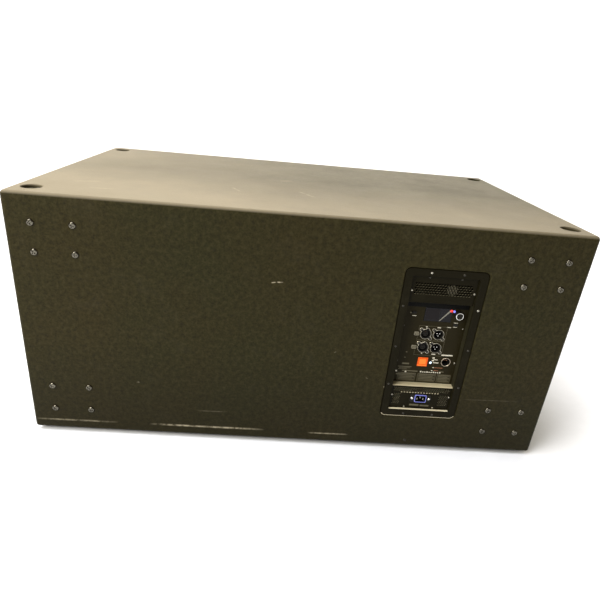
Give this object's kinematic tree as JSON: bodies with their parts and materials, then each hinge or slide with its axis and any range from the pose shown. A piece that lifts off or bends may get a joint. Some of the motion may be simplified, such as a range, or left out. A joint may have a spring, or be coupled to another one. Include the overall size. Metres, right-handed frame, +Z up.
{
  "type": "powered double bass loudspeaker cabinet",
  "caption": "Powered plywood bass cabinet with grille, side hand-holds, stacking cups, caster points and a recessed rear amplifier plate.",
  "frame": {"origin": "on the floor, under the middle of the cabinet", "axes": "+Z up, -Y out of the grille, +Y out of the amplifier plate, +X to the right seen from the grille"},
  "size_m": [1.184, 0.692, 0.558],
  "materials": {
    "textured_paint": "plywood under black textured cabinet paint, fine orange-peel grain",
    "plywood": "bare birch plywood",
    "coated_steel": "black powder coat, satin",
    "foam": "open-cell acoustic foam",
    "rubber": "matt black rubber",
    "black_plastic": "black moulded plastic",
    "grey_plastic": "light grey moulded plastic",
    "orange_plastic": "glossy orange",
    "display": "glossy smoked window",
    "steel": "zinc-plated screws",
    "nickel": "nickel-plated connector shells",
    "cast_aluminium": "cast and extruded aluminium",
    "ferrite": "dark motor steel",
    "paper": "coated paper pulp",
    "treated_cloth": "treated cloth",
    "copper": "wound copper on a glass-fibre former",
    "circuit_board": "green circuit board with its parts"
  },
  "bodies": {
    "cabinet": {"top_panel": "textured_paint", "bottom_panel": "textured_paint", "left_side_panel": "textured_paint", "right_side_panel": "textured_paint", "rear_panel": "textured_paint", "front_baffle": "textured_paint", "port_wall_left": "plywood", "port_wall_right": "plywood", "centre_brace": "plywood", "amp_housing": "plywood", "grille": "coated_steel", "grille_foam": "foam", "amp_bezel": "coated_steel", "amp_chassis": "coated_steel", "vent_hood": "coated_steel", "lower_panel": "coated_steel", "control_panel": "coated_steel", "left_front_handle": "black_plastic", "left_rear_handle": "black_plastic", "right_front_handle": "black_plastic", "right_rear_handle": "black_plastic", "front_left_foot": "rubber", "front_right_foot": "rubber", "rear_left_foot": "rubber", "rear_right_foot": "rubber", "caster_screws_top_left": "steel", "caster_screws_bottom_left": "steel", "caster_screws_top_right": "steel", "caster_screws_bottom_right": "steel", "display_window": "display", "keypad_board": "circuit_board", "xlr_input_a": "nickel", "xlr_input_b": "nickel", "xlr_thru_a": "nickel", "xlr_thru_b": "nickel", "network_socket": "nickel", "badge": "orange_plastic", "mains_inlet": "black_plastic", "power_board": "circuit_board", "heat_sink": "cast_aluminium", "fan_frame": "black_plastic", "basket_left": "cast_aluminium", "motor_left": "ferrite", "surround_left": "treated_cloth", "spider_left": "treated_cloth", "basket_right": "cast_aluminium", "motor_right": "ferrite", "surround_right": "treated_cloth", "spider_right": "treated_cloth"},
    "encoder_shaft": {"encoder_shaft": "steel"},
    "encoder_knob": {"encoder_knob": "black_plastic"},
    "back_button": {"back_button": "rubber"},
    "power_button": {"power_button": "rubber"},
    "latch_a": {"latch_a": "grey_plastic"},
    "latch_b": {"latch_b": "grey_plastic"},
    "fan_rotor": {"fan_rotor": "black_plastic"},
    "cone_left": {"cone_left": "paper", "voice_coil_left": "copper"},
    "cone_right": {"cone_right": "paper", "voice_coil_right": "copper"}
  },
  "joints": [
    {"name": "encoder_press", "type": "slide", "parent": "cabinet", "child": "encoder_shaft", "axis": [0, -1, 0], "range_m": [0, 0.0008], "stiffness_N_per_m": 2500},
    {"name": "encoder_turn", "type": "hinge", "parent": "encoder_shaft", "child": "encoder_knob", "pos_m": [-0.3444, 0.329, 0.3574], "axis": [0, -1, 0], "continuous": true},
    {"name": "back_button_press", "type": "slide", "parent": "cabinet", "child": "back_button", "axis": [0, -1, 0], "range_m": [0, 0.001], "stiffness_N_per_m": 2000},
    {"name": "power_button_press", "type": "slide", "parent": "cabinet", "child": "power_button", "axis": [0, -1, 0], "range_m": [0, 0.001], "stiffness_N_per_m": 2000},
    {"name": "latch_a_release", "type": "slide", "parent": "cabinet", "child": "latch_a", "axis": [0, -1, 0], "range_m": [0, 0.0015], "stiffness_N_per_m": 1500},
    {"name": "latch_b_release", "type": "slide", "parent": "cabinet", "child": "latch_b", "axis": [0, -1, 0], "range_m": [0, 0.0015], "stiffness_N_per_m": 1500},
    {"name": "fan_spin", "type": "hinge", "parent": "cabinet", "child": "fan_rotor", "pos_m": [-0.316, 0.3241, 0.4163], "axis": [0, -1, 0], "continuous": true},
    {"name": "cone_left_excursion", "type": "slide", "parent": "cabinet", "child": "cone_left", "axis": [0, -1, 0], "range_m": [-0.008, 0.008], "stiffness_N_per_m": 9000, "deforming": ["surround_left", "spider_left"]},
    {"name": "cone_right_excursion", "type": "slide", "parent": "cabinet", "child": "cone_right", "axis": [0, -1, 0], "range_m": [-0.008, 0.008], "stiffness_N_per_m": 9000, "deforming": ["surround_right", "spider_right"]}
  ]
}
